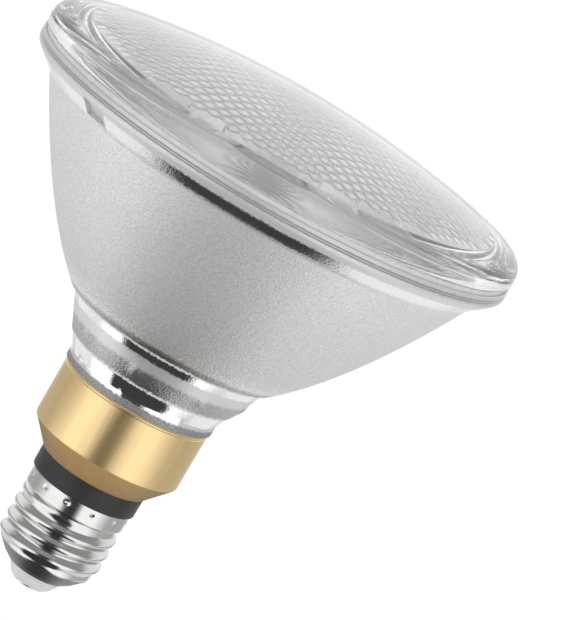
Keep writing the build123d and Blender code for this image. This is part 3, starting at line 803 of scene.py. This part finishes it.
class LAMP_OT_reflector(bpy.types.Operator):
    """Models the pressed glass reflector with its mirror, rim, neck and lugs"""

    bl_idname = "lamp.reflector"
    bl_label = "Glass reflector"

    def execute(self, context):
        sizes = context.scene.lamp_glass
        colours = context.scene.lamp_colours
        levels = self.levels(sizes)
        corners = self.outline(sizes, levels)
        piece = lathe("reflector_glass", rounded(corners, 6), GLASS_STEPS, SLICES)
        self.press(piece, sizes, levels)
        self.notch(piece, sizes, levels)
        self.coat(piece, sizes)
        smooth(piece, 32)
        stations = [
            (getattr(levels, corner) + offset * MM, *finish)
            for corner, offset, *finish in GLASS_BANDS
        ]
        glass = silvered_glass(colours.silver, stations)
        ground = moulded("ground_glass", (0.62, 0.62, 0.62), (0.3, 0.45))
        settle(piece, "reflector", "mirrored_glass", glass, mirror_film(colours.mirror), ground)
        return {"FINISHED"}

    def levels(self, sizes):
        """Heights of the corners outside."""
        rim_z = GLASS_HIGH.z - sizes.flange
        return Levels(
            neck=CEMENT_TOP,
            ridge=CEMENT_TOP + sizes.ridge,
            foot=CEMENT_TOP + sizes.neck,
            flange=rim_z - sizes.flange_slope,
            rim=rim_z,
            mouth=GLASS_HIGH.z,
        )

    def head(self, sizes, levels):
        """(radius, height) of the corner between the body and the slope under the rim."""
        return mirror_radius(sizes, levels.flange) + sizes.wall, levels.flange

    def outline(self, sizes, levels):
        """Corners from the mouth down the outside and back up the mirror."""
        rim = GLASS_HIGH.x
        low, mouth = mirror_ends(sizes)
        bore_z = parabola_height(low, mouth, sizes.bore)
        head = self.head(sizes, levels)
        foot = (sizes.foot, levels.foot)
        body = [
            (parabola_radius(foot, head, z), z)
            for z in steps_between(levels.flange - 1.6 * MM, levels.foot + 2.4 * MM, 40)
        ]
        mirror = [(mirror_radius(sizes, z), z) for z in steps_between(bore_z, levels.mouth, 64)]
        return [
            (*mouth, 0),
            (rim, levels.mouth, 0.2 * MM),
            *plain(self.grooves(sizes, levels)),
            (rim, levels.rim, sizes.flange_round),
            (*head, 1.4 * MM),
            *plain(body),
            (*foot, 1.6 * MM),
            *self.neck(sizes, levels),
            (sizes.heel, levels.neck, 0),
            (sizes.heel, GLASS_LOW.z, 0),
            (sizes.bore, GLASS_LOW.z, 0),
            *plain(mirror),
        ]

    def grooves(self, sizes, levels):
        """Points of the two fine grooves round the rim, the upper one first."""
        rim = GLASS_HIGH.x
        low = levels.rim + sizes.groove_height
        half = 0.8 * sizes.groove
        points = []
        for z in (low + sizes.groove_pitch, low):
            points += [(rim, z + half), (rim - sizes.groove, z), (rim, z - half)]
        return points

    def neck(self, sizes, levels):
        """Corners of the neck, from the body's foot down to the cement."""
        top = (sizes.foot - sizes.step, levels.foot - 0.5 * MM)
        slope = (top[0] - sizes.ridge_step - sizes.neck_foot) / (sizes.neck - sizes.band)
        band_z = levels.neck + sizes.band
        ridge_r = sizes.neck_foot + slope * (sizes.ridge - sizes.band)
        crest_r = ridge_r + sizes.ridge_step
        upper = [
            (crest_r + slope * (z - levels.ridge), z)
            for z in steps_between(levels.foot - 3.0 * MM, levels.ridge + 1.0 * MM, 26)
        ]
        lower = [
            (sizes.neck_foot + slope * (z - band_z), z)
            for z in steps_between(levels.ridge - 0.8 * MM, band_z + 0.8 * MM, 10)
        ]
        return [
            (*top, 0.5 * MM),
            *plain(upper),
            (crest_r, levels.ridge, 0.3 * MM),
            (ridge_r, levels.ridge - 0.15 * MM, 0.3 * MM),
            *plain(lower),
            (sizes.neck_foot, band_z, 0.8 * MM),
            (sizes.neck_foot, levels.neck, 0.2 * MM),
        ]

    def press(self, piece, sizes, levels):
        """Makes the neck uneven and raises its two rows of lugs."""
        low = levels.neck + 0.5 * MM
        high = levels.foot - 0.4 * MM
        # First angle in degrees, height, radius and share of the full bump of each row
        rows = ((-6.8, sizes.lug_height, 1.5 * MM, 1.0), (-9.0, 2.2 * MM, 1.2 * MM, 0.6))
        lugs = [
            (math.radians(start + 360 / LUG_COUNT * i), levels.neck + height, size, share)
            for start, height, size, share in rows
            for i in range(LUG_COUNT)
        ]

        def pressed(radius, heading, z):
            if not low < z < high or radius < sizes.heel + 0.5 * MM:
                return radius, z
            if radius < mirror_radius(sizes, z) + 1.5 * MM:
                return radius, z
            here = Vector((radius * math.cos(heading), radius * math.sin(heading), z))
            fade = min(1.0, (z - low) / (1.5 * MM), (high - z) / (2.0 * MM))
            proud = NECK_WAVE * noise.noise(here * NECK_WAVES) * fade
            for turn, lug_z, size, share in lugs:
                around = radius * math.remainder(heading - turn, 2 * math.pi)
                off = (around**2 + (z - lug_z) ** 2) / size**2
                proud += sizes.lug_proud * share * math.exp(-off)
            return radius + proud, z

        move_points(piece, pressed)

    def coat(self, piece, sizes):
        """Gives the inside its film and the selected faces of the notch their ground glass."""
        for face in piece.data.polygons:
            z = face.center.z
            film_r = mirror_radius(sizes, z) + 0.4 * MM
            coated = z > GLASS_LOW.z + 0.1 * MM and face.center.xy.length < film_r
            face.material_index = 2 if face.select else 1 if coated else 0

    def notch(self, piece, sizes, levels):
        """Cuts the flat notch into the sloping underside of the rim and selects its faces."""
        outer = (GLASS_HIGH.x, levels.rim)
        inner = self.head(sizes, levels)
        lean = -math.atan2(outer[1] - inner[1], outer[0] - inner[0])
        middle = Matrix.Translation(((outer[0] + inner[0]) / 2, 0, (outer[1] + inner[1]) / 2))
        place = Matrix.Rotation(sizes.notch_angle, 4, "Z") @ middle @ Matrix.Rotation(lean, 4, "Y")
        bpy.ops.object.select_all(action="DESELECT")
        bpy.ops.mesh.primitive_cube_add(size=1)
        block = bpy.context.object
        block.scale = (sizes.notch_height, sizes.notch_width, 2 * sizes.notch_depth)
        bpy.ops.object.transform_apply(scale=True)
        block.matrix_world = place
        bpy.context.view_layer.objects.active = piece
        bpy.ops.object.modifier_add(type="BOOLEAN")
        cut = piece.modifiers[-1]
        cut.operation = "DIFFERENCE"
        cut.solver = "EXACT"
        cut.object = block
        bpy.ops.object.modifier_apply(modifier=cut.name)
        bpy.data.objects.remove(block)
        to_block = place.inverted()
        reach = Vector((sizes.notch_height, sizes.notch_width, 2 * sizes.notch_depth)) / 2
        for face in piece.data.polygons:
            at = to_block @ face.center
            face.select = all(abs(at[i]) < reach[i] + 0.01 * MM for i in range(3))


class LAMP_OT_skirt(bpy.types.Operator):
    """Models the drawn brass skirt"""

    bl_idname = "lamp.skirt"
    bl_label = "Brass skirt"

    def execute(self, context):
        sizes = context.scene.lamp_metal
        radius = SKIRT_HIGH.x
        low, top = SKIRT_LOW.z, SKIRT_HIGH.z
        wall = sizes.skirt_wall
        tube_z = low + sizes.skirt_cone
        lean = (radius - sizes.skirt_foot) / sizes.skirt_cone
        across = wall * math.hypot(1, lean)
        lip = sizes.skirt_foot - sizes.skirt_lip
        inner_foot = sizes.skirt_foot + lean * wall - across
        inner_tube_z = low + wall + (radius - wall - inner_foot) / lean
        corners = [
            (lip, low + wall / 2, 0),
            (lip, low, 0.1 * MM),
            (sizes.skirt_foot, low, 0.35 * MM),
            (radius, tube_z, 0.7 * MM),
            (radius, top - 0.7 * MM, 0.05 * MM),
            (radius - 0.12 * MM, top - 0.55 * MM, 0.05 * MM),
            (radius, top - 0.4 * MM, 0.05 * MM),
            (radius, top, 0.18 * MM),
            (radius - wall, top, 0.15 * MM),
            (radius - wall, inner_tube_z, 0.3 * MM),
            (inner_foot, low + wall, 0.2 * MM),
            (lip, low + wall, 0.1 * MM),
            (lip, low + wall / 2, 0),
        ]
        piece = lathe("skirt_brass", rounded(corners, 5), METAL_STEPS, SLICES)
        smooth(piece, 35)
        colours = context.scene.lamp_colours
        settle(piece, "skirt", "brass", brushed_brass(colours.brass, colours.cone, tube_z))
        return {"FINISHED"}


class LAMP_OT_screw_shell(bpy.types.Operator):
    """Models the rolled screw shell with its thread and stakes"""

    bl_idname = "lamp.screw_shell"
    bl_label = "Screw shell"

    def execute(self, context):
        sizes = context.scene.lamp_metal
        colours = context.scene.lamp_colours
        collar_z = SHELL_HIGH.z - sizes.collar
        thread_z = collar_z - sizes.thread
        corners = self.outline(sizes, thread_z, collar_z)
        piece = lathe("screw_shell_nickel", rounded(corners, 4), METAL_STEPS, SLICES)
        self.roll(piece, sizes, thread_z, collar_z)
        smooth(piece, 40)
        settle(piece, "screw_shell", "nickel", nickel_plate(colours.nickel, thread_z))
        return {"FINISHED"}

    def outline(self, sizes, thread_z, collar_z):
        """Corners of the shell before its thread is rolled, from the nose up and back inside."""
        root = SHELL_HIGH.x - sizes.depth
        low, top = SHELL_LOW.z, SHELL_HIGH.z
        wall = sizes.shell_wall
        thread = steps_between(thread_z + 0.6 * MM, collar_z - 0.9 * MM, 84)
        collar = steps_between(collar_z + 0.9 * MM, top - 0.35 * MM, 26)
        outer = [
            (sizes.nose, low, 0.12 * MM),
            (sizes.knee, low + sizes.knee_rise, 0.8 * MM),
            (sizes.shoulder, thread_z - 0.3 * MM, 1.0 * MM),
            (root, thread_z + 0.4 * MM, 0),
            *[(root, z, 0) for z in thread],
            (root, collar_z - 0.4 * MM, 0),
            (sizes.collar_radius, collar_z + 0.3 * MM, 0.25 * MM),
            *[(sizes.collar_radius, z, 0) for z in collar],
            (sizes.collar_radius, top, 0.1 * MM),
        ]
        inner = [(r - wall, z, 0) for r, z, _ in reversed(outer[1:-1])]
        start = (sizes.nose - wall * 0.3, low, 0)
        edge = (sizes.collar_radius - wall, top, 0.1 * MM)
        lip = (sizes.nose - wall * 0.7, low + wall * 0.7, 0.1 * MM)
        return [start, *outer, edge, *inner, lip, start]

    def roll(self, piece, sizes, thread_z, collar_z):
        """Rolls the thread, which fades at both ends, and presses the stakes into the collar."""
        first_z = thread_z + sizes.thread_width / 2
        last_z = first_z + sizes.thread - sizes.thread_width
        lead, fade = 1.2 * MM, 1.6 * MM
        stakes = [math.radians(STAKE_START + 360 / STAKE_COUNT * i) for i in range(STAKE_COUNT)]
        stake_z = SHELL_HIGH.z - sizes.stake_drop

        def rolled(radius, heading, z):
            turn = (heading - sizes.thread_start) / (2 * math.pi) * sizes.pitch
            crest_z = round((z - first_z - turn) / sizes.pitch) * sizes.pitch + first_z + turn
            first_turn = min(1.0, max(0.0, (crest_z - first_z + lead) / fade))
            last_turn = min(1.0, max(0.0, (last_z + lead - crest_z) / fade))
            wave = 0.5 + 0.5 * math.cos(2 * math.pi * (z - crest_z) / sizes.pitch)
            rise = max(0.0, (z - thread_z) / (0.8 * MM))
            fall = max(0.0, (collar_z - 0.2 * MM - z) / (0.6 * MM))
            ends = min(1.0, rise, fall)
            if thread_z < z < collar_z:
                radius += sizes.depth * wave**0.85 * min(first_turn, last_turn) * ends
            for stake in stakes:
                around = sizes.collar_radius * math.remainder(heading - stake, 2 * math.pi)
                off = (around**2 + (z - stake_z) ** 2) / sizes.stake_size**2
                radius -= sizes.stake_depth * math.exp(-off) if off < 9 else 0.0
            return radius, z

        move_points(piece, rolled)


class LAMP_OT_carried_parts(bpy.types.Operator):
    """Finishes the parts that keep their CAD shape"""

    bl_idname = "lamp.carried_parts"
    bl_label = "Carried-over parts"

    def execute(self, context):
        colours = context.scene.lamp_colours
        dark = moulded("base_plastic", colours.plastic, gloss=0.25)
        finishes = {
            "rim_seal": moulded("rim_bond", (0.85, 0.85, 0.85), (0.3, 0.5)),
            "neck_cement": moulded("neck_cement", colours.cement, (0.6, 0.8), 500, 0.06),
            "base": dark,
            "driver_cup": dark,
            "cap_insulator": moulded("insulator_plastic", colours.insulator, (0.4, 0.55), 1200),
            "centre_contact": cast_metal("contact_plate", (0.7, 0.68, 0.62)),
            "heat_sink": cast_metal("sink_aluminium", (0.8, 0.8, 0.81)),
            "cob_board": moulded("ceramic_board", (0.86, 0.86, 0.84), (0.3, 0.45)),
            "cob_emitter": moulded("phosphor", (0.82, 0.77, 0.58), (0.5, 0.6), 1500),
            "cob_holder": moulded("holder_plastic", (0.8, 0.8, 0.79)),
            "holder_screws": cast_metal("screw_steel", (0.62, 0.62, 0.6)),
            "driver_board": moulded("board_laminate", (0.07, 0.2, 0.09), (0.3, 0.45)),
            "transformer_core": moulded("ferrite", (0.05, 0.05, 0.055), (0.5, 0.7)),
            "transformer_winding": moulded("winding_tape", (0.75, 0.6, 0.1), (0.3, 0.4)),
            "smoothing_capacitor": moulded("can_sleeve", (0.03, 0.035, 0.07), (0.2, 0.35)),
            "film_capacitor": moulded("film_box", (0.45, 0.07, 0.05), (0.3, 0.4)),
            "choke": moulded("choke_ferrite", (0.06, 0.055, 0.05), (0.5, 0.7)),
            "rectifier": moulded("rectifier_case", (0.02, 0.02, 0.022), (0.4, 0.55)),
            "control_chip": moulded("chip_case", (0.025, 0.025, 0.027), (0.4, 0.55)),
            "fuse_resistor": moulded("resistor_coat", (0.18, 0.4, 0.42), (0.35, 0.5)),
            "contact_lead": moulded("contact_wire", (0.03, 0.03, 0.03), (0.3, 0.45)),
            "shell_lead": moulded("shell_wire", (0.03, 0.03, 0.03), (0.3, 0.45)),
            "led_lead_red": moulded("red_wire", (0.5, 0.02, 0.02), (0.3, 0.45)),
            "led_lead_black": moulded("black_wire", (0.025, 0.025, 0.025), (0.3, 0.45)),
        }
        for node, finish in finishes.items():
            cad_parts[node].material_slots[0].material = finish
        return {"FINISHED"}


class LAMP_OT_stage(bpy.types.Operator):
    """Sets the floor, the light and the camera"""

    bl_idname = "lamp.stage"
    bl_label = "Stage"

    def execute(self, context):
        scene = context.scene
        scene.view_settings.view_transform = "Standard"
        self.light(scene)
        self.floor(scene.lamp_colours.floor)
        camera = bpy.data.cameras.new("camera")
        camera.lens = CAMERA_LENS
        camera.sensor_width = CAMERA_SENSOR
        camera.clip_end = 10
        holder = bpy.data.objects.new("camera", camera)
        scene.collection.objects.link(holder)
        turn = Matrix((CAMERA_RIGHT, CAMERA_UP, CAMERA_BACK)).transposed().to_4x4()
        holder.matrix_world = Matrix.Translation(CAMERA_PLACE) @ turn
        scene.camera = holder
        return {"FINISHED"}

    def light(self, scene):
        """White for the camera, even soft light, and a studio that gloss and glass show."""
        world = bpy.data.worlds.new("studio")
        world.use_nodes = True
        scene.world = world
        tree = world.node_tree
        lit = tree.nodes["Background"]
        fill(tree, lit, Color=(1, 1, 1, 1), Strength=SOFT_LIGHT)
        level = self.studio(tree)
        through = maths(tree, "ADD", maths(tree, "MULTIPLY", level, 1.0 - GLASS_LIFT), GLASS_LIFT)
        path = tree.nodes.new("ShaderNodeLightPath")
        shown = lit.outputs["Background"]
        for ray, strength in (("Glossy", level), ("Transmission", through), ("Camera", 1.0)):
            other = add_node(tree, "ShaderNodeBackground", Color=(1, 1, 1, 1), Strength=strength)
            mixed = tree.nodes.new("ShaderNodeMixShader")
            tree.links.new(path.outputs[f"Is {ray} Ray"], mixed.inputs["Fac"])
            tree.links.new(shown, mixed.inputs[1])
            tree.links.new(other.outputs["Background"], mixed.inputs[2])
            shown = mixed.outputs["Shader"]
        tree.links.new(shown, tree.nodes["World Output"].inputs["Surface"])

    def soft_step(self, tree, value, low, high):
        """Soft step from 0 at one angle to 1 at another, in degrees, either way round."""
        made = add_node(
            tree,
            "ShaderNodeMapRange",
            Value=value,
            From_Min=math.radians(min(low, high)),
            From_Max=math.radians(max(low, high)),
            To_Min=float(low > high),
            To_Max=float(low < high),
        )
        made.interpolation_type = "SMOOTHSTEP"
        return made.outputs["Result"]

    def product(self, tree, values):
        """Values multiplied together."""
        total = values[0]
        for value in values[1:]:
            total = maths(tree, "MULTIPLY", total, value)
        return total

    def studio(self, tree):
        """Brightness round the lamp: pale, bright at both sides, dark where the camera stands."""
        coordinates = tree.nodes.new("ShaderNodeTexCoord")
        apart = add_node(tree, "ShaderNodeSeparateXYZ", Vector=coordinates.outputs["Generated"])
        x, y, z = (apart.outputs[axis] for axis in "XYZ")
        front = maths(tree, "MULTIPLY", y, -1.0)
        down = maths(tree, "MULTIPLY", z, -1.0)
        turn = maths(tree, "ARCTAN2", down, front)
        right = maths(tree, "ARCSINE", x)
        aside = maths(tree, "ABSOLUTE", right)
        angles = {
            "turn": turn,
            "right": right,
            "aside": aside,
            "wedge": maths(tree, "ADD", aside, maths(tree, "MULTIPLY", turn, WEDGE_SLANT)),
            "fan": maths(tree, "SUBTRACT", aside, maths(tree, "MULTIPLY", turn, FAN_SLANT)),
        }
        level = BASE_LIGHT
        for target, *fades in STUDIO_PARTS:
            steps = [self.soft_step(tree, angles[name], low, high) for name, low, high in fades]
            mask = self.product(tree, steps)
            change = maths(tree, "SUBTRACT", target, level)
            level = maths(tree, "ADD", level, maths(tree, "MULTIPLY", mask, change))
        return level

    def floor(self, rgb):
        """Pale floor under the lamp that shows white and keeps the lamp's soft shadow."""
        bpy.ops.object.select_all(action="DESELECT")
        bpy.ops.mesh.primitive_plane_add(size=FLOOR_SIZE, location=(0, 0, FLOOR_Z))
        floor = bpy.context.object
        floor.name = "floor"
        finish = bpy.data.materials.new("pale_floor")
        finish.use_nodes = True
        tree = finish.node_tree
        tree.nodes.remove(tree.nodes["Principled BSDF"])
        plain_floor = add_node(tree, "ShaderNodeBsdfDiffuse", Color=(*rgb, 1))
        part = add_node(tree, "ShaderNodeBsdfDiffuse", Color=(*FLOOR_GREY, 1))
        glow = add_node(tree, "ShaderNodeEmission", Color=(1, 1, 1, 1), Strength=FLOOR_GLOW)
        both = tree.nodes.new("ShaderNodeAddShader")
        tree.links.new(part.outputs["BSDF"], both.inputs[0])
        tree.links.new(glow.outputs["Emission"], both.inputs[1])
        mixed = tree.nodes.new("ShaderNodeMixShader")
        path = tree.nodes.new("ShaderNodeLightPath")
        tree.links.new(path.outputs["Is Camera Ray"], mixed.inputs["Fac"])
        tree.links.new(plain_floor.outputs["BSDF"], mixed.inputs[1])
        tree.links.new(both.outputs["Shader"], mixed.inputs[2])
        tree.links.new(mixed.outputs["Shader"], tree.nodes["Material Output"].inputs["Surface"])
        floor.data.materials.append(finish)
        floor.visible_glossy = False
        floor.visible_transmission = False


class LAMP_PT_panel(bpy.types.Panel):
    """Lists the steps of the lamp in the sidebar"""

    bl_idname = "LAMP_PT_panel"
    bl_label = "Reflector lamp"
    bl_space_type = "VIEW_3D"
    bl_region_type = "UI"
    bl_category = "Lamp"

    def draw(self, context):
        """Shows the steps as buttons, then every size and colour."""
        column = self.layout.column()
        for step in STEPS:
            column.operator(step.bl_idname)
        for group in GROUPS:
            values = getattr(context.scene, group)
            for name in values.__annotations__:
                column.prop(values, name)


GROUPS = {
    "lamp_lens": LampLensSizes,
    "lamp_glass": LampGlassSizes,
    "lamp_metal": LampMetalSizes,
    "lamp_colours": LampColours,
}
STEPS = (
    LAMP_OT_lens,
    LAMP_OT_reflector,
    LAMP_OT_skirt,
    LAMP_OT_screw_shell,
    LAMP_OT_carried_parts,
    LAMP_OT_stage,
)


def register():
    """Adds the properties, operators and panel to Blender."""
    for kind in (*GROUPS.values(), *STEPS, LAMP_PT_panel):
        bpy.utils.register_class(kind)
    for name, group in GROUPS.items():
        setattr(bpy.types.Scene, name, bpy.props.PointerProperty(type=group))


def unregister():
    """Takes them out again."""
    for name in GROUPS:
        delattr(bpy.types.Scene, name)
    for kind in reversed((*GROUPS.values(), *STEPS, LAMP_PT_panel)):
        bpy.utils.unregister_class(kind)


def main():
    register()
    bpy.ops.lamp.lens()
    bpy.ops.lamp.reflector()
    bpy.ops.lamp.skirt()
    bpy.ops.lamp.screw_shell()
    bpy.ops.lamp.carried_parts()
    bpy.ops.lamp.stage()


if __name__ == "__main__":
    main()
